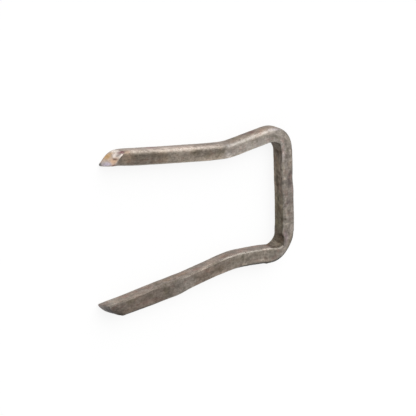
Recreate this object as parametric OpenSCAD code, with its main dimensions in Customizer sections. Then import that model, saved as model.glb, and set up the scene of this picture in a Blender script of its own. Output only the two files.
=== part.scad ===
// Retainer clip, bent in one piece from square spring wire
// It lies flat on one side: X runs along the legs to the web, Y across the legs, Z up
// The origin is on the surface under the middle of the clip's box
// Sizes are in millimetres, angles in degrees

/* [Wire] */
// Side of the square wire
wire_w = 3.2; // [2.8:0.1:3.6]
// Radius along the wire's four long edges
edge_r = 0.5; // [0.2:0.1:0.8]

/* [Web] */
// Width over the outside of the web
web_w = 32; // [30:0.5:34]
// Inside radius of the two corner bends
corner_r = 2.8; // [1.8:0.1:3.6]

/* [Waist] */
// Angle by which both legs lean in from the web to the waist
toe_in = 6; // [4:0.1:8]
// Distance from the outside of the web to the waist
waist_reach = 17.3; // [16:0.1:19]
// Inside radius of the two waist bends
waist_r = 14; // [6:0.5:20]

/* [Legs] */
// Angle by which the short leg spreads beyond the waist
short_flare = 8.7; // [6:0.1:10]
// Angle by which the long leg spreads beyond the waist
long_flare = 8.1; // [6:0.1:10]
// Distance from the outside of the web to the point of the short leg
short_reach = 48.8; // [46:0.1:50.2]
// Distance from the outside of the web to the point of the long leg
long_reach = 51; // [50.3:0.1:54]
// Distance from the outside of the web to the slight bend in the long leg
set_reach = 34; // [30:0.2:38]
// Angle by which that bend turns the long leg's end inward
set_angle = 3.5; // [1:0.1:5]

/* [Sheared ends] */
// Distance that the cut falls back from the point on the inner side
shear_back = 3.8; // [2.6:0.1:4.1]
// Radius of the rounded cut, seen from above
shear_r = 4.6; // [4.4:0.1:8]

/* [Hidden] */
$fn = 64;
wire_colour = [0.50, 0.46, 0.42];
half_w = wire_w / 2;

// Each straight laps this far over the bends, which are slimmer by the second value on every side
lap = 0.05;
slim = 0.01;

// Centre line of the wire, with the web at X 0 and the legs toward negative X
corner_y = web_w / 2 - half_w;
waist_x = waist_reach - half_w;
waist_y = corner_y - waist_x * tan(toe_in);
end_flare = long_flare - set_angle;

// Radii of the bends along the centre line
corner_bend_r = corner_r + half_w;
waist_bend_r = waist_r + half_w;
set_bend_r = 24;

// Length that a bend takes off the straight on each side of it
function bend_off(r, turn) = r * tan(turn / 2);
corner_off = bend_off(corner_bend_r, 90 + toe_in);
short_off = bend_off(waist_bend_r, toe_in + short_flare);
long_off = bend_off(waist_bend_r, toe_in + long_flare);
set_off = bend_off(set_bend_r, set_angle);

// Length of a leg at an angle that reaches from one distance off the web to another
function slant_l(from, to, angle) = (to - from) / cos(angle);
toe_l = slant_l(half_w, waist_reach, toe_in);
short_l = slant_l(waist_reach, short_reach - half_w * sin(short_flare), short_flare);
spread_l = slant_l(waist_reach, set_reach, long_flare);
end_l = slant_l(set_reach, long_reach - half_w * sin(end_flare), end_flare);
web_l = 2 * (corner_y - corner_off);

// Distance from the middle line to the outer corner of each leg's end
function end_edge_y(angle) = half_w * cos(angle) - shear_back * sin(angle);
short_y = waist_y + short_l * sin(short_flare) + end_edge_y(short_flare);
long_y = waist_y + spread_l * sin(long_flare) + end_l * sin(end_flare) + end_edge_y(end_flare);

// Middle of the clip's box
box_x = half_w - long_reach / 2;
box_y = (max(short_y, web_w / 2) - max(long_y, web_w / 2)) / 2;

// Bends and straights of each leg from the web on: turn to the left, centre radius, straight after it
short_leg = [
    [90 + toe_in, corner_bend_r, toe_l - corner_off - short_off],
    [-(toe_in + short_flare), waist_bend_r, short_l - short_off]
];
long_leg = [
    [90 + toe_in, corner_bend_r, toe_l - corner_off - long_off],
    [-(toe_in + long_flare), waist_bend_r, spread_l - long_off - set_off],
    [set_angle, set_bend_r, end_l - set_off]
];

// Section of the wire, a square with rounded corners that stands on the X axis, slimmer by inset
module wire_section(inset = 0) {
    flat_w = wire_w - 2 * edge_r;
    full_w = wire_w - 2 * inset;
    translate([-full_w / 2, edge_r]) square([full_w, flat_w]);
    translate([-flat_w / 2, inset]) square([flat_w, full_w]);
    for (x = [-flat_w / 2, flat_w / 2], y = [edge_r, edge_r + flat_w])
        translate([x, y]) circle(r = edge_r - inset);
}

// Straight wire from the origin along X
module straight(length) {
    translate([-lap, 0, 0])
        rotate([90, 0, 90]) linear_extrude(length + 2 * lap) wire_section();
}

// Bend that starts at the origin along X, and turns left where the turn is positive
module bend(turn, r) {
    mirror([0, turn < 0 ? 1 : 0, 0])
        translate([0, r, 0])
            rotate([0, 0, -90])
                rotate_extrude(angle = abs(turn)) translate([r, 0]) wire_section(slim);
}

// What follows a bend
module after_bend(turn, r) {
    centre_y = sign(turn) * r;
    translate([0, centre_y, 0])
        rotate([0, 0, turn])
            translate([0, -centre_y, 0]) children();
}

// Straight end of the wire, cut to a point on its left side with one rounded cut
module sheared_end(length) {
    chord = norm([wire_w, shear_back]);
    share = sqrt(shear_r ^ 2 - chord ^ 2 / 4) / chord;
    centre_x = length - shear_back / 2 - wire_w * share;
    centre_y = shear_back * share;
    intersection() {
        straight(length);
        translate([0, 0, -wire_w]) union() {
            translate([centre_x, centre_y, 0]) cylinder(r = shear_r, h = 3 * wire_w);
            translate([-wire_w, -wire_w, 0]) cube([centre_x + wire_w, 2 * wire_w, 3 * wire_w]);
        }
    }
}

// Wire of one leg, row by row
module bent_wire(rows, i = 0) {
    turn = rows[i][0];
    r = rows[i][1];
    feed = rows[i][2];
    bend(turn, r);
    after_bend(turn, r) {
        if (i == len(rows) - 1) {
            sheared_end(feed);
        } else {
            straight(feed);
            translate([feed, 0, 0]) bent_wire(rows, i + 1);
        }
    }
}

// Leg on the positive side of the web
module leg(rows) {
    translate([0, web_l / 2, 0]) rotate([0, 0, 90]) bent_wire(rows);
}

module retainer_clip() {
    color(wire_colour)
        translate([-box_x, -box_y, 0]) {
            rotate([0, 0, 90]) translate([-web_l / 2, 0, 0]) straight(web_l);
            leg(short_leg);
            mirror([0, 1, 0]) leg(long_leg);
        }
}

retainer_clip();
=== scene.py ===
# Retainer clip of square spring wire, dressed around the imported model
import math

import bpy
import numpy as np
from mathutils import Matrix, Vector, noise


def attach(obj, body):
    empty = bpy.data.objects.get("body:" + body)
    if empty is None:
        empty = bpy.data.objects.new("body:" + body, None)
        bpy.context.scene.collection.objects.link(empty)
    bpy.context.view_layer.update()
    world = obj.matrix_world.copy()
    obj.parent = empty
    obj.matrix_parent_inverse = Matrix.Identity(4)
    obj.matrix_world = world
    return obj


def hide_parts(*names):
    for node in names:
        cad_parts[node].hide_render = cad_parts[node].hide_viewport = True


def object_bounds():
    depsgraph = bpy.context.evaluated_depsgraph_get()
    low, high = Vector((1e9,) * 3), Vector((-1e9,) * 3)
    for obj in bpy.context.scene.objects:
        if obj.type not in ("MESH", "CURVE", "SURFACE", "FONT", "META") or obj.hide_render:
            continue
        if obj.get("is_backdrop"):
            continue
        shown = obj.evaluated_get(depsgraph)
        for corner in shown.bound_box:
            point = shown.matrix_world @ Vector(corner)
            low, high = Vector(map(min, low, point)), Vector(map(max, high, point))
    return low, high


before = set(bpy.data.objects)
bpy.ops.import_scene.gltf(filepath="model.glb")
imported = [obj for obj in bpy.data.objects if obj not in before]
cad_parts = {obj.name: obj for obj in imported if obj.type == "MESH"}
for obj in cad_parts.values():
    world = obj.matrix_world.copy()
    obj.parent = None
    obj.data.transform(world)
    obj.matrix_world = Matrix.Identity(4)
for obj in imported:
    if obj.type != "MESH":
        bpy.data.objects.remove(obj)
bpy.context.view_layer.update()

# Sizes of the clip in millimetres and degrees, as in the part's source
MM = 0.001
WIRE_W = 3.2
WEB_W = 32.0
CORNER_R = 2.8
TOE_IN = 6.0
WAIST_REACH = 17.3
WAIST_R = 14.0
SHORT_FLARE = 8.7
LONG_FLARE = 8.1
SHORT_REACH = 48.8
LONG_REACH = 51.0
SET_REACH = 34.0
SET_ANGLE = 3.5
SET_BEND_R = 24.0
SHEAR_BACK = 3.8
HALF_W = WIRE_W / 2

# Camera, in wire thicknesses from the middle of the web's face, and its angles in degrees
CAM_TURN = 35.68
CAM_RISE = 19.46
CAM_ROLL = -1.776
CAM_DISTANCE = 141.28
CAM_RIGHT = 5.561
CAM_UP = 1.119
CAM_FOCUS_PX = 2040.3
FRAME_PX = 416
SENSOR_MM = 36.0

# Density of the mesh
STATIONS = 900
FLAT_STEPS = 10
ROUND_STEPS = 6
CAP_RINGS = 12
SHEAR_ZONE = 8.0


def tan_d(angle):
    return math.tan(math.radians(angle))


def sin_d(angle):
    return math.sin(math.radians(angle))


def cos_d(angle):
    return math.cos(math.radians(angle))


# Centre line of the wire, with the web at X 0 and the legs toward negative X
CORNER_Y = WEB_W / 2 - HALF_W
WAIST_X = WAIST_REACH - HALF_W
WAIST_Y = CORNER_Y - WAIST_X * tan_d(TOE_IN)
END_FLARE = LONG_FLARE - SET_ANGLE
CORNER_BEND_R = CORNER_R + HALF_W
WAIST_BEND_R = WAIST_R + HALF_W


def slant(start, end, angle):
    return (end - start) / cos_d(angle)


def bend_off(radius, turn):
    return radius * tan_d(turn / 2)


CORNER_OFF = bend_off(CORNER_BEND_R, 90 + TOE_IN)
SHORT_OFF = bend_off(WAIST_BEND_R, TOE_IN + SHORT_FLARE)
LONG_OFF = bend_off(WAIST_BEND_R, TOE_IN + LONG_FLARE)
SET_OFF = bend_off(SET_BEND_R, SET_ANGLE)
TOE_L = slant(HALF_W, WAIST_REACH, TOE_IN)
SHORT_L = slant(WAIST_REACH, SHORT_REACH - HALF_W * sin_d(SHORT_FLARE), SHORT_FLARE)
SPREAD_L = slant(WAIST_REACH, SET_REACH, LONG_FLARE)
END_L = slant(SET_REACH, LONG_REACH - HALF_W * sin_d(END_FLARE), END_FLARE)
HALF_WEB_L = CORNER_Y - CORNER_OFF


def arc(radius, turn):
    return (radius * math.radians(abs(turn)), turn)


# Runs of each leg from the middle of the web: length, turn to the left in degrees
SHORT_RUNS = [
    (HALF_WEB_L, 0), arc(CORNER_BEND_R, 90 + TOE_IN), (TOE_L - CORNER_OFF - SHORT_OFF, 0),
    arc(WAIST_BEND_R, -TOE_IN - SHORT_FLARE), (SHORT_L - SHORT_OFF, 0)]
LONG_RUNS = [
    (HALF_WEB_L, 0), arc(CORNER_BEND_R, 90 + TOE_IN), (TOE_L - CORNER_OFF - LONG_OFF, 0),
    arc(WAIST_BEND_R, -TOE_IN - LONG_FLARE), (SPREAD_L - LONG_OFF - SET_OFF, 0),
    arc(SET_BEND_R, SET_ANGLE), (END_L - SET_OFF, 0)]
SHORT_END = sum(run[0] for run in SHORT_RUNS)
LONG_END = sum(run[0] for run in LONG_RUNS)


def end_edge_y(angle):
    return HALF_W * cos_d(angle) - SHEAR_BACK * sin_d(angle)


SHORT_Y = WAIST_Y + SHORT_L * sin_d(SHORT_FLARE) + end_edge_y(SHORT_FLARE)
LONG_Y = WAIST_Y + SPREAD_L * sin_d(LONG_FLARE) + END_L * sin_d(END_FLARE) + end_edge_y(END_FLARE)
BOX_X = HALF_W - LONG_REACH / 2
BOX_Y = (max(SHORT_Y, WEB_W / 2) - max(LONG_Y, WEB_W / 2)) / 2


def leg_path(runs, d):
    """Point, heading and curvature at each distance d from the middle of the web along one leg."""
    x, y, heading, done = 0.0, 0.0, math.pi / 2, 0.0
    px, py, pa, pk = (np.zeros_like(d) for _ in range(4))
    for i, (length, turn) in enumerate(runs):
        here = d >= done
        t = d[here] - done
        bend = math.radians(turn) / length
        if bend:
            px[here] = x + (np.sin(heading + bend * t) - math.sin(heading)) / bend
            py[here] = y - (np.cos(heading + bend * t) - math.cos(heading)) / bend
            x += (math.sin(heading + bend * length) - math.sin(heading)) / bend
            y -= (math.cos(heading + bend * length) - math.cos(heading)) / bend
        else:
            px[here] = x + np.cos(heading) * t
            py[here] = y + np.sin(heading) * t
            x += math.cos(heading) * length
            y += math.sin(heading) * length
        pa[here] = heading + bend * t
        pk[here] = bend
        heading += bend * length
        done += length
    return px, py, pa, pk


# Radii of the wire's long edges: outer front, outer back, inner front, inner back
SHARP_EDGES = (0.45, 0.45, 0.36, 0.36)
WORN_EDGES = (1.05, 0.55, 0.62, 0.4)


def wire_section(radii):
    """Points round the wire's section: offset outward, height, and the two parts of the outward direction."""
    points = []
    for corner in range(4):
        middle = math.pi / 4 + corner * math.pi / 2
        side, face = math.copysign(1, math.cos(middle)), math.copysign(1, math.sin(middle))
        radius = radii[(0 if side > 0 else 2) + (0 if face > 0 else 1)]
        cx, cy = side * (HALF_W - radius), face * (HALF_W - radius)
        for i in range(ROUND_STEPS + 1):
            a = (corner + i / ROUND_STEPS) * math.pi / 2
            points.append((cx + radius * math.cos(a), cy + radius * math.sin(a), math.cos(a), math.sin(a)))
    full = []
    for i, (x, y, nx, ny) in enumerate(points):
        full.append((x, y, nx, ny))
        if i % (ROUND_STEPS + 1) == ROUND_STEPS:
            x2, y2 = points[(i + 1) % len(points)][:2]
            full += [(x + (x2 - x) * k / FLAT_STEPS, y + (y2 - y) * k / FLAT_STEPS, nx, ny)
                     for k in range(1, FLAT_STEPS)]
    return np.array(full)


# Where the wire is wider or narrower than it should be: middle along the wire, reach, share of the width
WIDE_PLACES = [
    (-60, 4, 0.07), (-48.2, 7.0, 0.165), (-42.8, 2.4, 0.09), (-30, 2, 0.03), (-26.5, 3, 0.07),
    (-18.5, 7.6, 0.15), (-12, 2, -0.08), (-9.8, 1.8, 0.05), (-6, 3, 0.04), (0, 1.6, 0.02),
    (2.8, 1.2, -0.02), (6.5, 2, 0.02), (13, 2.5, 0.09),
    (33, 3, 0.015), (37, 20, 0.045), (57.0, 2.0, -0.13)]

# How far the wire bows outward, in millimetres: middle along the wire, reach, bow
BOWS = [
    (-60, 4, -0.10), (-50, 6, -0.07), (-46, 2, -0.06), (-42, 2.2, 0.065), (-28.5, 2.5, 0.10),
    (-21.5, 4, -0.10), (-16.2, 1.4, 0.08), (-12.9, 1.8, -0.20), (-9.8, 1.8, -0.12), (-4, 4.5, 0.06),
    (0, 1.6, 0.06), (2.8, 1.2, -0.05),
    (6.5, 2, 0.04), (8, 5, -0.13), (33, 3, -0.08), (40, 12, -0.15), (54.5, 2, 0.05)]

# How far the front of each cut lies behind its back, at the point and at the other side
SHORT_SLANT = (1.65, 0.66)
LONG_SLANT = (0.85, 0.8)
SHORT_SHEAR_R = 6.2
LONG_SHEAR_R = 5.8
# How far the front of the short leg's cut is hollowed out in its middle, and how far its point is drawn out
SHORT_HOLLOW = 0.36
SHORT_TIP = 0.3
TIP_REACH = 0.6
# How much fuller the back corner of that cut is on the outer side
SHORT_FULL = 0.5


def bumps(at, places):
    """Sum of smooth bumps at each place along the wire, from rows of middle, reach and size."""
    return sum(size * np.exp(-((at - middle) / reach) ** 2) for middle, reach, size in places)


def cut_back(u, w, short):
    """How far the cut lies behind the point, at offset u outward and height w from the wire's middle."""
    radius = np.where(short, SHORT_SHEAR_R, LONG_SHEAR_R)
    chord = math.hypot(WIRE_W, SHEAR_BACK)
    share = np.sqrt(radius ** 2 - chord ** 2 / 4) / chord
    middle = SHEAR_BACK / 2 + WIRE_W * share
    arc_part = middle - np.sqrt(np.maximum(radius ** 2 - (u + SHEAR_BACK * share) ** 2, 0))
    across = u / WIRE_W + 0.5
    at_point, at_side = (np.where(short, SHORT_SLANT[k], LONG_SLANT[k]) for k in (0, 1))
    hollow = np.where(short, SHORT_HOLLOW, 0) * (1 - (u / HALF_W) ** 2)
    tip = np.where(short, SHORT_TIP, 0) * np.exp(-((u + HALF_W) / TIP_REACH) ** 2) * (0.5 - w / WIRE_W)
    full = np.where(short, SHORT_FULL, 0) * across ** 2 * (0.5 - w / WIRE_W)
    slanted = (at_point + (at_side - at_point) * across + hollow) * (w / WIRE_W + 0.5)
    return arc_part + slanted - tip - full


def place(s, u, w):
    """Row-frame point, in millimetres, of s along the wire, u outward and w up from its middle."""
    out = np.zeros(s.shape + (3,))
    flat_s, flat_u = s.ravel(), u.ravel()
    res = np.zeros((flat_s.size, 2))
    for mask, runs, side in ((flat_s >= 0, SHORT_RUNS, 1), (flat_s < 0, LONG_RUNS, -1)):
        x, y, a, _ = leg_path(runs, np.abs(flat_s[mask]))
        res[mask, 0] = x + np.sin(a) * flat_u[mask]
        res[mask, 1] = side * (y - np.cos(a) * flat_u[mask])
    out[..., :2] = res.reshape(s.shape + (2,))
    out[..., 0] -= BOX_X
    out[..., 1] -= BOX_Y
    out[..., 2] = w + HALF_W
    return out


def curvature(s):
    return np.where(s >= 0, leg_path(SHORT_RUNS, np.abs(s))[3], leg_path(LONG_RUNS, np.abs(s))[3])


# Noise fields: size of their features along the wire, outward and upward in millimetres, seed, octaves
WAVES = ((9.0, 5.0, 5.0), 1, 2)
DENTS = ((1.6, 0.9, 0.9), 2, 3)
TORN_GRAIN = ((0.7, 0.7, 0.7), 5, 3)
BORDER_ALONG = ((1.3, 1.3, 1.3), 7, 3)
BORDER_ACROSS = ((1.1, 1.1, 1.1), 8, 3)
MOTTLING = ((0.95, 0.6, 0.5), 9, 3)
# Step in the noise from one seed to the next, how rough it is, and the ratio of one octave to the next
SEED_STEP = (17.3, 5.1, 9.7)
NOISE_ROUGH = 0.7
OCTAVE_RATIO = 2.0


def value_noise(points, field):
    """Smooth noise from about -1 to 1 at wire points."""
    size, seed, octaves = field
    shift = Vector([seed * step for step in SEED_STEP])
    return np.array([noise.fractal(Vector(p) + shift, NOISE_ROUGH, OCTAVE_RATIO, octaves)
                     for p in points / np.array(size)])


# Depth of the waves and dents in the faces, of the cuts' rolled rim and of their torn grain, in millimetres
WAVES_DEEP = 0.035
DENTS_DEEP = 0.02
RIM_R = 0.14
TORN_DEEP = 0.05
# How much lower the wire is outside a bend, as a share of its stretch there
OUTER_THIN = 0.25
# How far the front may rise over the wire's height, in millimetres
OVER_TOP = 0.03

# Where the wear of the short leg's edges begins and ends, how steeply, and how much of it ends there
WEAR_FROM, WEAR_FROM_RATE = 15, 1.2
WEAR_TO, WEAR_TO_RATE = 56, 1.5
WEAR_DROP = 0.7
# Wear on the long leg's toe-in straight: middle along the wire, reach, strength
TOE_WEAR_AT, TOE_WEAR_REACH, TOE_WEAR = -22, 7, 0.65


def step_up(x):
    """Smooth step from 0 to 1 around x = 0."""
    return 1 / (1 + np.exp(-x))


def edge_wear(s):
    """0 where the long edges are sharp, 1 where they are worn round."""
    short_leg = step_up((s - WEAR_FROM) * WEAR_FROM_RATE) - WEAR_DROP * step_up((s - WEAR_TO) * WEAR_TO_RATE)
    long_toe = TOE_WEAR * np.exp(-((s - TOE_WEAR_AT) / TOE_WEAR_REACH) ** 4)
    return np.maximum(short_leg, long_toe)


def build_wire():
    """Vertices and faces, and each vertex's wire coordinates, outward direction and share of the cut."""
    sharp, worn = wire_section(SHARP_EDGES), wire_section(WORN_EDGES)
    ring = len(sharp)
    s = np.linspace(-LONG_END, SHORT_END, STATIONS)
    share = edge_wear(s)[:, None]
    u, w, nu, nw = (sharp[None, :, k] * (1 - share) + worn[None, :, k] * share for k in range(4))
    behind = np.where(s >= 0, SHORT_END, LONG_END) - np.abs(s)
    # The last stations lean until they follow the cut
    lean = np.clip(1 - behind / SHEAR_ZONE, 0, 1)
    along = np.abs(s)[:, None] - lean[:, None] * cut_back(u, w, s[:, None] >= 0)
    signed = np.where(s[:, None] >= 0, along, -along)
    flat_at = np.stack([signed, u, w], -1).reshape(-1, 3)
    wave, dent = (value_noise(flat_at, field).reshape(u.shape) for field in (WAVES, DENTS))
    push = WAVES_DEEP * wave + DENTS_DEEP * dent
    u2 = u * widening(signed) + nu * push + bumps(signed, BOWS) + corner_press(signed, u, w)
    w2 = (w + nw * push) * (1 - OUTER_THIN * curvature(s)[:, None] * np.clip(u, 0, None))
    # Edges of the cut are slightly rolled
    near = np.clip(1 - behind / RIM_R, 0, 1)[:, None]
    roll = 1 - near ** 2 * RIM_R / HALF_W
    u2, w2 = u2 * roll, np.clip(w2 * roll, -HALF_W, HALF_W + OVER_TOP)
    points = place(signed, u2, w2)
    verts = [tuple(p * MM) for p in points.reshape(-1, 3)]
    faces = [(i * ring + j, (i + 1) * ring + j, (i + 1) * ring + (j + 1) % ring, i * ring + (j + 1) % ring)
             for i in range(STATIONS - 1) for j in range(ring)]
    cut = np.repeat(near, ring, 1).reshape(-1, 1)
    info = np.hstack([flat_at, nu.reshape(-1, 1), nw.reshape(-1, 1), cut]).tolist()
    for station, sign in ((0, -1), (STATIONS - 1, 1)):
        add_cap(verts, faces, info, station * ring, sign, u2[station], w2[station])
    return verts, faces, np.array(info)


def widening(s):
    """Factor on the wire's width across the bend plane."""
    return 1 + bumps(s, WIDE_PLACES)


# How deep the former pressed the front edge inside the corners: middle along the wire, reach, depth
PRESSES = [(-13.0, 3.6, 1.5), (12.6, 2.0, 0.4)]
PRESS_POWER = 1.2

# Burr on the short leg's point, and a chip on the outer side of the long leg's toe-in straight
BURR_DEEP = 0.36
BURR_REACH = 1.6
CHIP_AT = -17.9
CHIP_DEEP = 0.2
CHIP_REACH = 0.45


def corner_press(s, u, w):
    """How far the presses, the burr and the chip move the surface outward in the bend plane."""
    inside = np.clip(0.5 - u / WIRE_W, 0, 1)
    front = np.clip(w / WIRE_W + 0.5, 0, 1)
    press = sum(deep * np.clip(1 - np.abs(s - at) / reach, 0, 1) ** PRESS_POWER
                for at, reach, deep in PRESSES)
    burr = BURR_DEEP * inside ** 2 * (1 - front ** 3) * np.exp(-((SHORT_END - s) / BURR_REACH) ** 2)
    chip = CHIP_DEEP * front ** 2 * (1 - inside) ** 4 * np.exp(-((s - CHIP_AT) / CHIP_REACH) ** 2)
    return inside * front * press - burr + chip


# How fast the torn grain grows from a cut's rim toward its middle
TORN_RISE = 3


def add_cap(verts, faces, info, first, sign, ring_u, ring_w):
    """Closes one end with the cut face, in rings from the rim to its middle."""
    ring = len(ring_u)
    end = SHORT_END if sign > 0 else LONG_END
    previous = [first + j for j in range(ring)]
    for k in range(1, CAP_RINGS):
        share = 1 - k / CAP_RINGS
        u, w = ring_u * share, ring_w * share
        flat = np.stack([sign * (end - cut_back(u, w, sign > 0)), u, w], -1)
        torn = value_noise(flat, TORN_GRAIN) * min(1, TORN_RISE * (1 - share))
        points = place(flat[:, 0] + sign * TORN_DEEP * torn, u, w)
        current = [len(verts) + j for j in range(ring)]
        verts.extend(tuple(p * MM) for p in points)
        info.extend([*p, 0.0, 0.0, 1.0] for p in flat.tolist())
        join_rings(faces, previous, current, sign)
        previous = current
    zero = np.zeros(1)
    middle = sign * (end - cut_back(zero, zero, sign > 0))
    verts.append(tuple(place(middle, zero, zero)[0] * MM))
    info.append([float(middle[0]), 0.0, 0.0, 0.0, 0.0, 1.0])
    tip = len(verts) - 1
    for j in range(ring):
        a, b = previous[j], previous[(j + 1) % ring]
        faces.append((a, b, tip) if sign > 0 else (b, a, tip))


def join_rings(faces, outer, inner, sign):
    """Adds the faces between two rings of a cap."""
    for j in range(len(outer)):
        k = (j + 1) % len(outer)
        quad = (outer[j], outer[k], inner[k], inner[j])
        faces.append(quad if sign > 0 else quad[::-1])


# Broad changes of tint, some the steel's own stains and tone, others painted highlights and painted shade on edges
# and faces: face, from and to along the wire, softness, tint
TONE_AND_LIGHT_ZONES = [
    ("front", 28.8, 57, 0.8, (0.64, 0.62, 0.585)),
    ("front", 14, 28.8, 0.8, (1.20, 1.22, 1.23)),
    ("outer", 12, 28, 1.0, (0.71, 0.65, 0.60)),
    ("outer", 28, 58, 1.0, (1.04, 0.99, 0.975)),
    ("outer", 27.5, 37, 2.0, (0.81, 0.805, 0.80)),
    # Painted highlight: these outer_high rows lighten the front part of the short leg's outer face, where the
    # lamp's highlight on the rounded edge spreads, and dim it again past 22.5
    ("outer_high", 28, 56, 1.5, (1.36, 1.35, 1.33)),
    ("outer_high", 38, 56, 2.0, (1.12, 1.12, 1.12)),
    ("outer_high", 15, 28, 1.0, (1.78, 1.78, 1.78)),
    ("outer_high", 22.5, 29, 1.0, (0.84, 0.84, 0.85)),
    # Painted highlight and painted shade: these front_outer rows set how bright the lamp's highlight on that edge
    # looks, dimmed on most of the short leg, its toe and round the web, lifted between 36 and 47 and from 50 to
    # the tip
    ("front_outer", 28, 57, 1.0, (0.84, 0.84, 0.85)),
    ("front_outer", 50, 57, 1.5, (1.15, 1.14, 1.12)),
    ("front_outer", 36, 47, 2.0, (1.12, 1.12, 1.12)),
    ("front_outer", 14, 29, 1.0, (0.66, 0.68, 0.70)),
    ("front_outer", 21, 29, 1.5, (0.86, 0.86, 0.87)),
    ("front_outer", -13, 13.6, 1.0, (0.50, 0.49, 0.47)),
    ("front", 10.5, 13.5, 1.5, (0.90, 0.91, 0.88)),
    # Painted shadow: these near-black rows darken the lower toe's front-outer edge and outer face, standing for
    # the shade under that edge, and the third row darkens the long leg's front-outer edge near its tip the same
    # way
    ("front_outer", -26, -11.3, 0.8, (0.14, 0.13, 0.12)),
    ("outer", -26, -11.3, 0.8, (0.22, 0.22, 0.21)),
    ("front_outer", -61, -48, 1.5, (0.20, 0.18, 0.18)),
    # Partly the web's own dark oxide and partly painted shade inside the U: a darker inner face from corner to
    # corner; the front_inner row after the next dims the web's front-inner edge so its lamp highlight stays faint,
    # a painted shade
    ("inner", -12.8, 14.9, 0.6, (0.40, 0.375, 0.335)),
    ("inner_high", -8, 8.5, 0.8, (1.12, 1.11, 1.11)),
    ("front_inner", -9, 9, 1.0, (0.80, 0.80, 0.79)),
    ("inner", -9, -0.5, 0.8, (0.92, 0.95, 0.88)),
    ("inner", -58, -15, 1.0, (0.74, 0.70, 0.68)),
    ("inner", -16.5, -12.4, 0.5, (0.60, 0.58, 0.53)),
    ("inner", -62, -55, 1.0, (0.98, 0.98, 0.97)),
    ("front", -57.5, -46, 1.5, (0.62, 0.58, 0.55)),
    ("front", -46, -39, 1.0, (0.84, 0.84, 0.83)),
    ("front", -39, -29, 1.5, (0.70, 0.66, 0.62)),
    ("front", -29, -15, 1.5, (0.81, 0.80, 0.76)),
    # Painted shade over the lamp's highlight: these front_inner rows dim the long leg's front-inner edge, most at
    # its tip
    ("front_inner", -64, -31, 1.0, (0.46, 0.45, 0.43)),
    ("front_inner", -64, -57, 1.0, (0.50, 0.50, 0.50)),
    ("front_inner", -31, -14.5, 1.0, (0.82, 0.84, 0.86)),
    ("front_inner", -47.5, -41.5, 1.0, (0.66, 0.64, 0.62)),
    ("inner_high", -60, -51, 1.5, (1.22, 1.21, 1.20)),
    ("inner_high", -37, -31, 1.5, (1.22, 1.21, 1.21)),
    # Painted shade over the lamp's highlight on the front-inner edge near the lower corner, in this row and the
    # last one
    ("front_inner", -12.5, -9, 0.8, (0.75, 0.74, 0.74)),
    # Painted highlight: a light line along the short leg's lower front-inner edge
    ("front_inner", 17, 44, 2.0, (1.18, 1.18, 1.17)),
    # Painted shade over the lamp's highlight on the front-inner edge at the top corner
    ("front_inner", 7.5, 15.8, 0.6, (0.42, 0.40, 0.38)),
    ("front_inner", -15.2, -12.0, 0.5, (0.60, 0.60, 0.60)),
]
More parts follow.
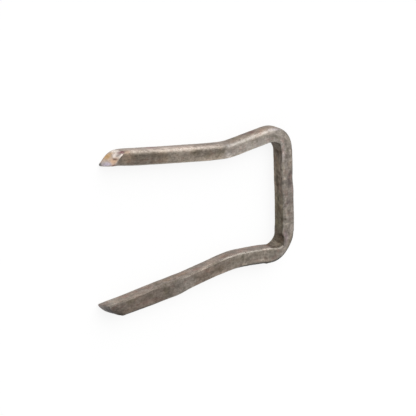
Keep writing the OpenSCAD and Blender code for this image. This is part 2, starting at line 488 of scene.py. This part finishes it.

# Spots, most of them stains, scratches and changes of tone, some painted highlights and painted shade: face,
# middle along the wire, middle across the face, reach along and across, tint
TONE_AND_LIGHT_SPOTS = [
    ("front", 15.9, -0.3, 1.5, 0.75, (0.52, 0.51, 0.48)),
    # Painted highlight tint: cools the lamp's highlight on the front-outer edge near the top corner
    ("front_outer", 15.2, 1.2, 1.3, 1.5, (0.90, 0.88, 0.96)),
    ("front", 17.2, 0.3, 0.5, 0.4, (0.85, 0.84, 0.80)),
    ("front", 13.0, -0.3, 1.2, 0.6, (1.12, 1.10, 1.12)),
    ("front", 30.6, -0.1, 1.0, 0.9, (0.86, 0.86, 0.80)),
    ("front", 33.4, 0.2, 0.9, 0.6, (0.90, 0.89, 0.84)),
    ("front", 37.0, 0.5, 1.6, 0.8, (0.74, 0.72, 0.66)),
    ("front", 42.2, 0.1, 2.2, 1.3, (1.36, 1.37, 1.36)),
    ("front", 44.8, -0.4, 0.9, 0.8, (1.12, 1.04, 0.98)),
    ("front", 47.2, 0.5, 2.0, 0.8, (0.80, 0.76, 0.71)),
    ("front", 48.0, -0.9, 1.0, 0.5, (0.78, 0.70, 0.66)),
    ("front", 50.4, -0.3, 0.8, 0.7, (1.12, 1.10, 1.08)),
    ("front", 52.5, 0.4, 1.5, 0.7, (0.82, 0.79, 0.74)),
    ("front", 55.0, -0.6, 1.2, 0.5, (1.12, 1.10, 1.06)),
    # Painted highlight: a thin light line along the lower edge of the short leg's front face
    ("front", 31.0, -1.35, 14.0, 0.3, (1.30, 1.27, 1.22)),
    ("front", 32.4, -0.9, 4.6, 0.7, (1.80, 1.79, 1.78)),
    ("front", 28.4, -0.9, 1.6, 0.7, (0.92, 0.94, 0.98)),
    ("front", 33.0, 1.0, 2.5, 0.6, (0.84, 0.83, 0.82)),
    ("front", 42.2, 1.0, 0.9, 0.6, (0.82, 0.82, 0.81)),
    ("front", 18.5, -0.9, 4.0, 0.7, (1.24, 1.26, 1.30)),
    ("front", 38.4, 0.2, 1.3, 1.5, (1.30, 1.30, 1.30)),
    ("front", 49.6, 1.0, 3.0, 0.6, (0.66, 0.65, 0.63)),
    ("front", 40.2, -0.9, 1.6, 0.6, (1.32, 1.32, 1.30)),
    ("front", 45.8, -0.9, 1.6, 0.6, (1.30, 1.28, 1.24)),
    ("front", 45.4, 0.9, 1.0, 0.6, (1.24, 1.20, 1.16)),
    ("outer", 13.6, 0.2, 1.1, 1.4, (0.84, 0.84, 0.85)),
    ("outer", 20.5, -0.3, 1.0, 0.7, (0.70, 0.54, 0.55)),
    ("outer", 17.9, 0.2, 0.9, 0.6, (1.12, 1.06, 1.0)),
    ("outer", 22.0, -0.7, 0.5, 0.5, (0.66, 0.68, 0.76)),
    ("outer", 24.6, -0.3, 1.0, 0.6, (0.84, 0.88, 0.78)),
    ("outer", 47.3, -0.3, 1.6, 0.8, (0.88, 0.77, 0.84)),
    ("outer", 36.0, 0.3, 1.5, 0.5, (0.92, 0.88, 0.86)),
    ("outer", 51.0, 0.2, 1.0, 0.7, (1.08, 1.08, 1.06)),
    ("outer", 32.6, -0.2, 4.6, 0.55, (0.68, 0.66, 0.64)),
    ("outer", 37.0, -0.9, 3.0, 0.45, (0.86, 0.85, 0.84)),
    # Painted highlight: brightens the lamp's highlight on the short leg's front-outer edge
    ("front_outer", 35.0, 1.2, 4.5, 1.0, (1.26, 1.26, 1.28)),
    ("outer", 56.9, 0.1, 0.9, 1.0, (0.60, 0.42, 0.43)),
    ("front", 54.6, 0.4, 1.4, 1.2, (1.30, 1.18, 1.08)),
    ("outer", 54.6, 1.0, 1.2, 0.9, (0.72, 0.65, 0.59)),
    ("front_outer", 55.2, 1.2, 1.4, 1.5, (0.66, 0.58, 0.52)),
    ("front_outer", 58.0, 1.0, 0.7, 0.9, (0.56, 0.42, 0.41)),
    ("inner", -10.5, 0.1, 1.4, 1.2, (0.98, 0.94, 0.88)),
    ("inner", 0.0, -0.15, 9.0, 0.4, (0.74, 0.73, 0.66)),
    ("inner", 1.0, 1.1, 9.5, 0.45, (1.02, 1.0, 1.02)),
    ("inner", 0.5, -1.2, 8.0, 0.7, (1.66, 1.64, 1.60)),
    ("inner", -3.6, 0.3, 1.2, 1.2, (1.26, 1.25, 1.22)),
    ("front_inner", -3.2, 1.2, 1.2, 1.5, (1.16, 1.16, 1.15)),
    ("inner", 4.8, -0.1, 1.3, 0.8, (1.2, 1.19, 1.18)),
    ("inner", 9.6, 0.2, 0.9, 1.2, (0.46, 0.38, 0.32)),
    ("inner", 6.6, 0.2, 0.7, 0.5, (1.30, 1.18, 1.08)),
    ("inner", 7.9, -0.4, 0.4, 0.4, (1.40, 1.20, 1.06)),
    ("inner", 4.6, 0.2, 0.35, 0.9, (0.70, 0.66, 0.62)),
    ("inner", 3.3, -0.1, 0.4, 0.5, (0.66, 0.62, 0.56)),
    ("inner", 1.4, -0.2, 0.8, 0.5, (0.66, 0.62, 0.56)),
    ("inner", 0.2, 0.6, 0.5, 0.4, (1.25, 1.24, 1.22)),
    ("inner", -1.6, 0.3, 0.4, 0.5, (1.20, 1.20, 1.18)),
    ("inner", -4.0, 0.0, 0.4, 0.9, (0.80, 0.78, 0.72)),
    ("inner", -6.1, 1.2, 0.3, 0.6, (0.58, 0.55, 0.50)),
    ("inner", -7.4, -0.6, 0.9, 0.5, (1.22, 1.24, 1.10)),
    ("inner", -13.9, 0.0, 0.7, 0.5, (1.42, 1.44, 1.46)),
    ("inner", -12.6, 0.2, 1.2, 1.2, (1.12, 1.10, 1.06)),
    ("front", -2.4, -0.1, 0.9, 0.55, (0.58, 0.56, 0.58)),
    ("front", 2.2, 0.6, 0.9, 0.9, (0.60, 0.58, 0.60)),
    ("front", 1.4, 0.1, 2.2, 0.9, (0.80, 0.79, 0.79)),
    ("front", -9.4, -0.4, 1.3, 0.8, (0.74, 0.73, 0.72)),
    ("front", -5.2, -0.3, 1.0, 0.8, (0.86, 0.86, 0.85)),
    ("front", -7.0, -0.9, 2.3, 0.5, (0.86, 0.86, 0.84)),
    ("front", -5.2, 1.0, 2.0, 0.5, (1.16, 1.15, 1.14)),
    ("front", 6.8, 0.9, 0.8, 0.6, (1.20, 1.20, 1.16)),
    ("front", 4.1, 0.9, 0.6, 0.8, (0.58, 0.56, 0.58)),
    ("front", 3.1, 0.0, 0.4, 0.4, (0.80, 0.78, 0.80)),
    ("front", 8.4, -0.3, 0.7, 0.5, (0.70, 0.68, 0.67)),
    ("front", 6.2, 0.5, 0.8, 0.5, (0.88, 0.84, 0.80)),
    ("front", 0.6, 1.0, 0.9, 0.4, (1.12, 1.04, 1.08)),
    ("front", 10.5, -0.95, 2.9, 0.55, (1.46, 1.50, 1.60)),
    ("front", 5.6, -1.0, 1.6, 0.6, (0.86, 0.86, 0.86)),
    ("front", 0.8, 0.95, 1.2, 0.5, (0.82, 0.82, 0.82)),
    ("front", 8.3, 0.25, 0.8, 0.6, (0.78, 0.77, 0.77)),
    ("front", 5.6, -1.1, 1.6, 0.4, (1.18, 1.20, 1.14)),
    ("front", 21.0, 1.0, 6.0, 0.6, (0.95, 0.94, 0.91)),
    ("front_outer", 28.7, 1.3, 1.0, 1.2, (0.82, 0.82, 0.82)),
    ("front", -10.6, -0.9, 1.9, 0.5, (1.04, 0.97, 1.10)),
    ("front", -10.9, 0.6, 1.2, 0.4, (1.08, 1.02, 0.96)),
    ("front", -7.2, -0.6, 0.25, 0.8, (1.6, 1.6, 1.54)),
    ("front", -6.3, -1.0, 0.22, 0.8, (0.50, 0.48, 0.44)),
    ("front", -8.6, -0.8, 0.3, 0.7, (1.15, 1.17, 1.12)),
    ("front", -5.3, -0.8, 0.3, 0.7, (1.28, 1.26, 1.20)),
    ("front", -4.2, -0.8, 0.4, 0.6, (1.20, 1.18, 1.14)),
    ("front", -3.4, -1.1, 0.2, 0.6, (0.76, 0.74, 0.76)),
    ("front", 0.6, -0.6, 0.25, 0.8, (1.2, 1.2, 1.15)),
    ("front", 1.9, -0.9, 0.2, 0.6, (1.25, 1.27, 1.20)),
    ("front", 2.9, -0.9, 0.25, 0.7, (1.38, 1.38, 1.30)),
    ("front", 3.9, -0.9, 0.2, 0.5, (0.82, 0.80, 0.78)),
    ("front", -14.0, -0.2, 1.6, 0.6, (1.04, 1.04, 1.02)),
    ("front", -13.6, -0.4, 0.7, 0.35, (1.2, 1.2, 1.18)),
    # Painted shadow: a near-black line along the lower edge of the long leg's front near the lower corner,
    # standing for the shade under that edge
    ("front", -14.8, 1.5, 3.2, 0.46, (0.19, 0.18, 0.17)),
    ("front", -16.7, 0.1, 1.2, 0.8, (1.18, 1.21, 1.24)),
    ("front", -15.6, -0.9, 0.9, 0.5, (0.78, 0.78, 0.78)),
    # Painted highlight rising along the front-inner edge in the lower corner
    ("front_inner", -16.2, 1.2, 1.0, 1.2, (1.4, 1.4, 1.4)),
    ("front", -15.6, 0.9, 1.8, 0.6, (1.00, 1.08, 1.12)),
    # Painted shadow: the same near-black line under the lower edge, carried on toward the web
    ("front", -11.4, 1.48, 2.2, 0.36, (0.36, 0.35, 0.33)),
    # Painted highlight: light along the lower, outer edge of the long leg's front
    ("front", -20.2, 1.0, 4.2, 0.6, (1.62, 1.62, 1.63)),
    ("front", -41.8, -0.2, 1.3, 1.4, (0.82, 0.81, 0.80)),
    ("front", -21.0, -0.7, 1.6, 0.5, (0.80, 0.79, 0.77)),
    ("front", -52.0, 0.9, 4.5, 0.6, (1.16, 1.15, 1.15)),
    # Painted highlight: a thin light line on the lower, outer edge of the long leg's front
    ("front", -24.0, 1.15, 1.5, 0.3, (1.6, 1.6, 1.58)),
    ("front", -25.6, 0.85, 0.4, 0.35, (0.6, 0.56, 0.56)),
    ("inner", -24.2, 1.0, 1.7, 0.6, (1.22, 1.22, 1.22)),
    ("inner", -48.9, -0.9, 2.6, 0.6, (1.24, 1.21, 1.19)),
    ("inner", -56.2, -0.8, 1.0, 0.8, (1.22, 1.20, 1.18)),
    ("inner", -21.0, -1.0, 2.6, 0.6, (1.20, 1.18, 1.18)),
    ("inner", -20.5, 0.3, 4.0, 0.8, (0.86, 0.85, 0.84)),
    ("inner", -16.4, -0.8, 1.2, 0.9, (0.52, 0.48, 0.45)),
    ("inner", -17.3, -0.2, 0.7, 0.5, (1.05, 0.72, 0.60)),
    ("inner", -15.6, -1.2, 0.35, 0.3, (2.6, 1.9, 1.2)),
    ("inner", -19.9, -0.7, 1.0, 0.5, (1.0, 0.88, 0.84)),
    ("inner", -24.5, -0.1, 1.8, 0.6, (0.98, 0.86, 0.82)),
    ("inner", -29.0, 0.3, 1.2, 0.6, (0.95, 0.78, 0.70)),
    ("inner", -32.6, 0.1, 1.5, 1.0, (1.24, 1.22, 1.19)),
    ("inner", -36.8, 0.5, 0.9, 0.5, (0.96, 0.76, 0.72)),
    ("inner", -34.5, 1.1, 2.5, 0.35, (1.22, 1.22, 1.18)),
    ("inner", -40.6, 0.1, 1.8, 0.6, (1.06, 0.92, 0.80)),
    ("inner", -44.5, 0.0, 1.2, 0.6, (1.10, 0.98, 0.86)),
    ("inner", -47.0, 0.1, 0.8, 1.0, (0.72, 0.72, 0.64)),
    ("inner", -42.8, 0.8, 0.6, 0.45, (0.60, 0.52, 0.48)),
    ("inner", -49.5, 0.0, 1.0, 0.6, (0.96, 0.82, 0.76)),
    ("inner", -53.6, 0.1, 1.3, 0.6, (1.12, 1.12, 1.06)),
    ("inner", -52.5, -0.2, 0.7, 0.4, (1.06, 0.80, 0.78)),
    ("inner", -55.4, -0.1, 0.7, 0.4, (1.06, 0.82, 0.80)),
    ("inner", -58.2, 0.2, 1.3, 0.7, (1.18, 1.17, 1.12)),
    ("inner", -60.0, -0.3, 0.4, 0.5, (0.98, 0.84, 0.80)),
    ("inner", -61.3, 0.0, 1.4, 1.7, (0.58, 0.55, 0.55)),
    ("inner", -62.4, -0.6, 0.7, 1.2, (0.70, 0.52, 0.56)),
    ("front", -59.6, -0.5, 1.2, 1.2, (0.46, 0.44, 0.43)),
    ("front", -58.2, 0.4, 1.2, 1.6, (0.54, 0.52, 0.50)),
    # Painted shadow: a dark line along the lower edge of the long leg's front near its tip
    ("front", -58.5, 1.2, 1.5, 0.6, (0.23, 0.22, 0.21)),
    # Painted shade over the lamp's highlight on the front-inner edge at the long leg's tip
    ("front_inner", -61.2, 1.2, 1.6, 1.6, (0.78, 0.78, 0.76)),
    ("front", -56.2, 0.7, 1.2, 0.5, (0.80, 0.76, 0.72)),
    ("front", -55.0, -0.9, 1.2, 0.5, (0.86, 0.87, 0.78)),
    ("front", -51.5, 0.2, 1.0, 0.8, (0.90, 0.84, 0.84)),
    ("front", -46.0, -0.2, 0.9, 0.9, (0.74, 0.72, 0.64)),
    ("front", -40.6, 0.2, 1.5, 0.9, (1.12, 1.12, 1.13)),
    ("front", -44.4, 0.0, 1.7, 1.8, (0.72, 0.70, 0.68)),
    ("front", -36.5, 0.0, 1.3, 0.6, (0.90, 0.86, 0.82)),
    ("front", -31.6, 0.1, 1.6, 0.6, (0.76, 0.72, 0.66)),
    # Painted highlight: light along the lower, outer edge of the long leg's front
    ("front", -31.8, 1.1, 1.7, 0.5, (1.34, 1.32, 1.32)),
    ("front", -28.4, 0.2, 1.1, 0.8, (0.84, 0.83, 0.81)),
    ("front", -33.8, -0.8, 1.4, 0.4, (1.12, 1.08, 1.04)),
    ("front", -25.8, -0.3, 1.5, 0.5, (0.80, 0.79, 0.74)),
    # Painted highlight: a lighter band along the lower, outer edge of the long leg's front
    ("front", -29.5, 1.3, 4.5, 0.4, (1.17, 1.13, 1.13)),
    ("front", -21.5, 0.4, 1.2, 0.6, (1.10, 1.09, 1.11)),
    ("front", -18.6, 0.4, 0.5, 0.4, (0.80, 0.74, 0.72)),
    # Painted highlight and painted shade: these front_inner spots lift the lamp's highlight along the long leg's
    # front-inner edge in places and dim it at -32.2
    ("front_inner", -18.7, 1.0, 1.0, 1.5, (1.35, 1.35, 1.35)),
    ("front_inner", -28.2, 1.0, 1.2, 1.5, (1.15, 1.15, 1.15)),
    ("front_inner", -35.7, 1.2, 1.1, 1.5, (1.34, 1.40, 1.44)),
    ("front_inner", -34.3, 1.2, 0.5, 1.5, (1.28, 1.36, 1.44)),
    ("front_inner", -32.2, 1.2, 1.2, 1.5, (0.72, 0.72, 0.71)),
]

# Colours on the cut ends, with painted highlights and a painted reflection on the short leg's cut and painted
# shade on the long leg's cut: leg, offset outward, height, reach of each, colour
CUT_COLOURS_AND_LIGHT = [
    (1, 0.0, 0.0, 6.0, 6.0, (0.56, 0.48, 0.42)),
    (1, 1.5, 0.1, 0.5, 1.3, (0.62, 0.57, 0.53)),
    (1, 0.15, -1.05, 0.85, 0.80, (0.57, 0.37, 0.19)),
    (1, -0.40, 0.75, 0.75, 0.90, (0.72, 0.50, 0.35)),
    # Painted reflection: a lavender tint near the short cut's point, where that face turns away from the lamp
    (1, -1.35, 0.0, 0.45, 1.0, (0.50, 0.45, 0.51)),
    (1, -0.2, -1.75, 1.3, 0.35, (0.30, 0.18, 0.11)),
    (1, -1.7, -1.5, 0.5, 0.6, (0.13, 0.13, 0.13)),
    (1, -1.5, 1.5, 0.5, 0.55, (0.24, 0.11, 0.09)),
    (1, 0.0, 0.75, 0.24, 0.5, (0.22, 0.14, 0.11)),
    # Painted highlights: pale patches on the outer half of the short leg's cut
    (1, 1.30, -0.75, 0.40, 0.55, (0.80, 0.73, 0.67)),
    (1, 0.60, 0.25, 0.40, 0.42, (0.80, 0.72, 0.67)),
    (1, 0.9, 1.45, 0.55, 0.45, (0.74, 0.68, 0.63)),
    (1, 0.95, 0.95, 0.42, 0.26, (0.40, 0.36, 0.33)),
    (1, -0.3, 1.75, 0.7, 0.35, (0.30, 0.26, 0.22)),
    (1, 1.5, 0.85, 0.5, 0.8, (0.25, 0.12, 0.12)),
    # Painted shade: the long leg's cut is much darker than the short one's, as it faces away from the light, with
    # near-black patches
    (-1, 0.0, 0.0, 6.0, 6.0, (0.20, 0.18, 0.165)),
    (-1, -1.6, -1.3, 0.6, 0.8, (0.25, 0.18, 0.18)),
    (-1, -1.5, -0.5, 0.5, 0.6, (0.25, 0.22, 0.20)),
    (-1, -0.3, 0.7, 1.1, 1.1, (0.05, 0.04, 0.038)),
    (-1, 1.2, 0.8, 0.7, 1.0, (0.07, 0.06, 0.055)),
]
# Plain tone of the cut ends, and how dark and light its grain makes it
CUT_TONE = 0.5
CUT_DARK, CUT_LIGHT = 0.8, 1.15

# Borders: steepness of the zones' ends and the spots' rims, and how far both wander along and across the wire
ZONE_STEEP = 3
SPOT_POWER = 1.4
ALONG_WARP = 0.45
ACROSS_WARP = 0.6 * ALONG_WARP
CUT_HEIGHT_WARP = 0.5

# Strength of the fine mottling on the web and the long leg, and on the short leg from there on
MOTTLE = 0.32
SHORT_LEG_MOTTLE, SHORT_LEG_FROM = 0.12, 16
# Share of it that the long leg keeps from there on, and how much more of it the web's inner face has
LONG_LEG_SHARE, LONG_LEG_FROM = 0.6, -16
WEB_MORE, WEB_REACH = 0.6, 13

# The front part of a side face: how far below the wire's middle it begins, as a share, and how it rises
HIGH_FROM = 0.2
HIGH_POWER = 1.5


def face_share(face, info):
    """How far each vertex belongs to a face or edge of the wire, or to the front part of a side face."""
    out, up = info[:, 3], info[:, 4]
    shares = {"outer": np.clip(out, 0, 1) ** 2, "inner": np.clip(-out, 0, 1) ** 2, "front": np.clip(up, 0, 1) ** 2}
    if face in shares:
        return shares[face]
    first, second = face.split("_")
    if second == "high":
        return shares[first] * np.clip(info[:, 2] / HALF_W + HIGH_FROM, 0, 1) ** HIGH_POWER
    return 4 * shares[first] * shares[second]


def paint_wire(info):
    """Tint of every vertex from the zones and spots, stains and painted highlights and shade alike, with ragged
    borders.
    """
    paint = np.ones((len(info), 3))
    at, along = info[:, :3], info[:, 0]
    warp_s = ALONG_WARP * value_noise(at, BORDER_ALONG)
    warp_c = ACROSS_WARP * value_noise(at, BORDER_ACROSS)
    s = along + warp_s
    for face, start, end, soft, tint in TONE_AND_LIGHT_ZONES:
        inside = step_up((s - start) * ZONE_STEEP / soft) * step_up((end - s) * ZONE_STEEP / soft)
        paint *= 1 + (inside * face_share(face, info))[:, None] * (np.array(tint) - 1)
    for face, middle, across, long, wide, tint in TONE_AND_LIGHT_SPOTS:
        c = (info[:, 1] if face == "front" else info[:, 2]) + warp_c
        d = ((s - middle) / long) ** 2 + ((c - across) / wide) ** 2
        amount = np.exp(-d ** SPOT_POWER) * face_share(face, info)
        paint *= 1 + amount[:, None] * (np.array(tint) - 1)
    for leg, u, w, wide, high, colour in CUT_COLOURS_AND_LIGHT:
        height = info[:, 2] + CUT_HEIGHT_WARP * warp_s
        d = ((info[:, 1] + warp_c - u) / wide) ** 2 + ((height - w) / high) ** 2
        amount = np.exp(-d ** SPOT_POWER) * info[:, 5] * (np.sign(along) == leg)
        paint += amount[:, None] * (np.array(colour) / CUT_TONE - paint)
    on_web = np.exp(-(along / WEB_REACH) ** 4)
    inner = (1 + WEB_MORE * on_web) * face_share("inner", info)
    mottle = np.where(along < SHORT_LEG_FROM, MOTTLE, SHORT_LEG_MOTTLE) * (face_share("front", info) + inner)
    mottle *= np.where(along < LONG_LEG_FROM, LONG_LEG_SHARE, 1) * (1 - info[:, 5])
    return paint * (1 + mottle * value_noise(at, MOTTLING))[:, None]


def store(mesh, name, kind, values, key):
    """Writes one value per vertex into a layer that the material reads."""
    layer = mesh.attributes.new(name, kind, "POINT")
    layer.data.foreach_set(key, np.asarray(values, dtype=np.float32).ravel())


# Edges sharper than this angle in degrees stay sharp in the shading
SHARP_ANGLE = 50


def make_wire(material):
    verts, faces, info = build_wire()
    mesh = bpy.data.meshes.new("wire")
    mesh.from_pydata(verts, [], faces)
    mesh.validate()
    store(mesh, "wire_at", "FLOAT_VECTOR", info[:, :3], "vector")
    store(mesh, "edge", "FLOAT", 4 * (info[:, 3] * info[:, 4]) ** 2, "value")
    store(mesh, "cut", "FLOAT", info[:, 5], "value")
    paint = paint_wire(info)
    store(mesh, "paint", "FLOAT_COLOR", np.hstack([paint, np.ones((len(paint), 1))]), "color")
    mesh.shade_smooth()
    mesh.set_sharp_from_angle(angle=math.radians(SHARP_ANGLE))
    mesh.materials.append(material)
    wire = bpy.data.objects.new("clip_wire", mesh)
    bpy.context.collection.objects.link(wire)
    return wire


# Colours of the worn steel
DULL_STEEL = (0.30, 0.262, 0.228)
CLEAR_STEEL = (0.47, 0.415, 0.37)
RED_BROWN = (0.34, 0.22, 0.18)
OLIVE = (0.26, 0.235, 0.17)
GRIME = (0.10, 0.085, 0.07)
PALE_STEEL = (0.60, 0.56, 0.51)
METAL_SHARE = 0.85
BUMP_STRENGTH = 0.5
BUMP_DEEP = 0.1 * MM


class Nodes:
    """Short ways to add the nodes of one material."""

    def __init__(self, name):
        self.material = bpy.data.materials.new(name)
        self.material.use_nodes = True
        self.tree = self.material.node_tree
        self.tree.nodes.clear()

    def add(self, kind, **settings):
        node = self.tree.nodes.new(kind)
        for key, value in settings.items():
            setattr(node, key, value)
        return node

    def link(self, value, socket):
        """Sets a socket to a number or colour, or joins it to another node's output."""
        if isinstance(value, (int, float)):
            socket.default_value = value
        elif isinstance(value, tuple):
            opaque = (1.0,) if len(value) == 3 and len(socket.default_value) == 4 else ()
            socket.default_value = value + opaque
        else:
            self.tree.links.new(value, socket)

    def attribute(self, name, output):
        return self.add("ShaderNodeAttribute", attribute_name=name).outputs[output]

    def math(self, operation, a, b):
        node = self.add("ShaderNodeMath", operation=operation)
        self.link(a, node.inputs[0])
        self.link(b, node.inputs[1])
        return node.outputs[0]

    def stretch(self, vector, factors, shift=(0.0, 0.0, 0.0)):
        node = self.add("ShaderNodeVectorMath", operation="MULTIPLY_ADD")
        self.link(vector, node.inputs[0])
        node.inputs[1].default_value = factors
        node.inputs[2].default_value = shift
        return node.outputs[0]

    def noise(self, vector, detail=3.0, rough=0.55):
        node = self.add("ShaderNodeTexNoise")
        self.link(vector, node.inputs["Vector"])
        node.inputs["Scale"].default_value = 1.0
        node.inputs["Detail"].default_value = detail
        node.inputs["Roughness"].default_value = rough
        return node.outputs["Fac"]

    def range(self, value, low, high, to_low=0.0, to_high=1.0):
        node = self.add("ShaderNodeMapRange", interpolation_type="SMOOTHSTEP")
        self.link(value, node.inputs["Value"])
        for name, number in (("From Min", low), ("From Max", high), ("To Min", to_low), ("To Max", to_high)):
            node.inputs[name].default_value = number
        return node.outputs["Result"]

    def mix(self, factor, a, b, blend="MIX"):
        node = self.add("ShaderNodeMix", data_type="RGBA", blend_type=blend)
        self.link(factor, node.inputs[0])
        self.link(a, node.inputs[6])
        self.link(b, node.inputs[7])
        return node.outputs[2]


def worn_steel_and_painted_light():
    n = Nodes("worn_steel_and_painted_light")
    at = n.attribute("wire_at", "Vector")
    edge = n.attribute("edge", "Fac")
    cut = n.attribute("cut", "Fac")
    paint = n.attribute("paint", "Color")

    # Noise over the wire, stretched along it and across it, each with its own shift
    blotch = n.noise(n.stretch(at, (0.28, 0.55, 0.55)), detail=4.0, rough=0.6)
    speck = n.noise(n.stretch(at, (1.6, 2.2, 2.2), (7.0, 3.0, 1.0)), detail=4.0, rough=0.65)
    red = n.noise(n.stretch(at, (0.35, 0.6, 0.6), (40.0, 11.0, 5.0)), detail=3.0)
    streak = n.noise(n.stretch(at, (0.5, 9.0, 9.0), (3.0, 20.0, 9.0)), detail=4.0, rough=0.6)
    pits = n.noise(n.stretch(at, (4.0, 4.5, 4.5), (13.0, 8.0, 2.0)), detail=2.0)
    across = n.noise(n.stretch(at, (4.5, 0.5, 0.5), (5.0, 2.0, 30.0)), detail=3.0)
    tint = n.noise(n.stretch(at, (0.9, 1.1, 1.1), (21.0, 7.0, 14.0)), detail=2.0)

    # Dull and clear steel with stains, pale worn edges and the bare cuts, then the tints stored in the mesh, which
    # also hold painted highlights and painted shade
    tone = n.math("ADD", n.math("MULTIPLY", blotch, 0.45), n.math("MULTIPLY", speck, 0.55))
    tone = n.math("ADD", tone, n.math("MULTIPLY", across, 0.25))
    colour = n.mix(n.range(tone, 0.53, 0.73), DULL_STEEL, CLEAR_STEEL)
    colour = n.mix(n.range(red, 0.52, 0.72, 0.0, 0.5), colour, RED_BROWN)
    colour = n.mix(n.range(tint, 0.55, 0.72, 0.0, 0.35), colour, RED_BROWN)
    colour = n.mix(n.range(tint, 0.45, 0.28, 0.0, 0.5), colour, OLIVE)
    colour = n.mix(n.range(streak, 0.52, 0.30, 0.0, 0.4), colour, GRIME)
    colour = n.mix(n.range(pits, 0.60, 0.72, 0.0, 0.6), colour, GRIME)
    worn = n.math("MULTIPLY", edge, n.range(speck, 0.35, 0.6, 0.1, 0.6))
    colour = n.mix(worn, colour, PALE_STEEL)
    bare = n.mix(n.range(speck, 0.3, 0.7), (CUT_TONE * CUT_DARK,) * 3, (CUT_TONE * CUT_LIGHT,) * 3)
    colour = n.mix(cut, colour, bare)
    colour = n.mix(1.0, colour, paint, "MULTIPLY")

    # Roughness, and fine streaks and pits as bump
    rough = n.math("ADD", n.range(speck, 0.3, 0.7, 0.44, 0.62), n.math("MULTIPLY", edge, -0.06))
    height = n.math("ADD", n.math("MULTIPLY", streak, 0.5), n.math("MULTIPLY", pits, -0.6))
    bump = n.add("ShaderNodeBump")
    bump.inputs["Strength"].default_value = BUMP_STRENGTH
    bump.inputs["Distance"].default_value = BUMP_DEEP
    n.link(height, bump.inputs["Height"])

    shader = n.add("ShaderNodeBsdfPrincipled")
    shader.inputs["Metallic"].default_value = METAL_SHARE
    n.link(colour, shader.inputs["Base Color"])
    n.link(rough, shader.inputs["Roughness"])
    n.link(bump.outputs["Normal"], shader.inputs["Normal"])
    out = n.add("ShaderNodeOutputMaterial")
    n.link(shader.outputs[0], out.inputs["Surface"])
    return n.material


# Share of plain white in the floor as the camera and the metal see it; the rest is lit and takes the shadow
FLOOR_WHITE = 0.84
# Half of the floor's side, in metres
FLOOR_HALF = 1.5


def make_floor(height):
    mesh = bpy.data.meshes.new("floor")
    corners = [(-1, -1), (1, -1), (1, 1), (-1, 1)]
    mesh.from_pydata([(x * FLOOR_HALF, y * FLOOR_HALF, height) for x, y in corners], [], [(0, 1, 2, 3)])
    n = Nodes("floor_white")
    paper = n.add("ShaderNodeBsdfDiffuse")
    paper.inputs["Color"].default_value = (1.0, 1.0, 1.0, 1.0)
    white = n.add("ShaderNodeEmission")
    ray = n.add("ShaderNodeLightPath")
    seen = n.math("MAXIMUM", ray.outputs["Is Camera Ray"], ray.outputs["Is Glossy Ray"])
    seen = n.math("MAXIMUM", seen, ray.outputs["Is Transmission Ray"])
    mix = n.add("ShaderNodeMixShader")
    n.link(n.math("MULTIPLY", seen, FLOOR_WHITE), mix.inputs[0])
    n.link(paper.outputs[0], mix.inputs[1])
    n.link(white.outputs[0], mix.inputs[2])
    out = n.add("ShaderNodeOutputMaterial")
    n.link(mix.outputs[0], out.inputs["Surface"])
    mesh.materials.append(n.material)
    floor = bpy.data.objects.new("floor", mesh)
    bpy.context.collection.objects.link(floor)
    floor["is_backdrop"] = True


def to_row(p):
    """Direction from the camera's fitting frame, where Y runs into the photo and Z up, to the row frame."""
    return Vector((p[0], p[2], -p[1]))


def make_camera():
    """Camera as fitted to the photo, with its position counted from the middle of the web's top."""
    sa, ca = sin_d(CAM_TURN), cos_d(CAM_TURN)
    se, ce = sin_d(CAM_RISE), cos_d(CAM_RISE)
    back = to_row((-sa * ce, -ca * ce, se))
    right = to_row((ca, -sa, 0))
    up = back.cross(right)
    cr, sr = cos_d(CAM_ROLL), sin_d(CAM_ROLL)
    right, up = right * cr + up * sr, up * cr - right * sr
    origin = Vector((-BOX_X, -BOX_Y, WIRE_W)) * MM
    spot = origin + (back * CAM_DISTANCE - right * CAM_RIGHT - up * CAM_UP) * WIRE_W * MM
    camera = bpy.data.objects.new("camera", bpy.data.cameras.new("camera"))
    bpy.context.collection.objects.link(camera)
    camera.data.sensor_width = SENSOR_MM
    camera.data.lens = CAM_FOCUS_PX / FRAME_PX * SENSOR_MM
    camera.data.clip_start = 0.01
    camera.matrix_world = Matrix.Translation(spot) @ Matrix((right, up, back)).transposed().to_4x4()
    bpy.context.scene.camera = camera


# Light: the world and one large soft lamp, which comes from this direction
WORLD_LIGHT = 0.6
KEY_LIGHT = 2.3
KEY_ANGLE = 70
KEY_FROM = (0.3, 0.75, 0.6)


def make_lights():
    world = bpy.data.worlds.new("world")
    bpy.context.scene.world = world
    world.use_nodes = True
    world.node_tree.nodes["Background"].inputs["Color"].default_value = (1.0, 1.0, 1.0, 1.0)
    world.node_tree.nodes["Background"].inputs["Strength"].default_value = WORLD_LIGHT
    sun = bpy.data.lights.new("key", "SUN")
    sun.energy = KEY_LIGHT
    sun.angle = math.radians(KEY_ANGLE)
    lamp = bpy.data.objects.new("key", sun)
    bpy.context.collection.objects.link(lamp)
    lamp.rotation_euler = Vector(KEY_FROM).to_track_quat("Z", "Y").to_euler()


wire = make_wire(worn_steel_and_painted_light())
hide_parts("retainer_clip")
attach(wire, "root")
make_floor(min(0.0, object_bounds()[0][2]))
make_camera()
make_lights()
bpy.context.scene.view_settings.view_transform = "Standard"
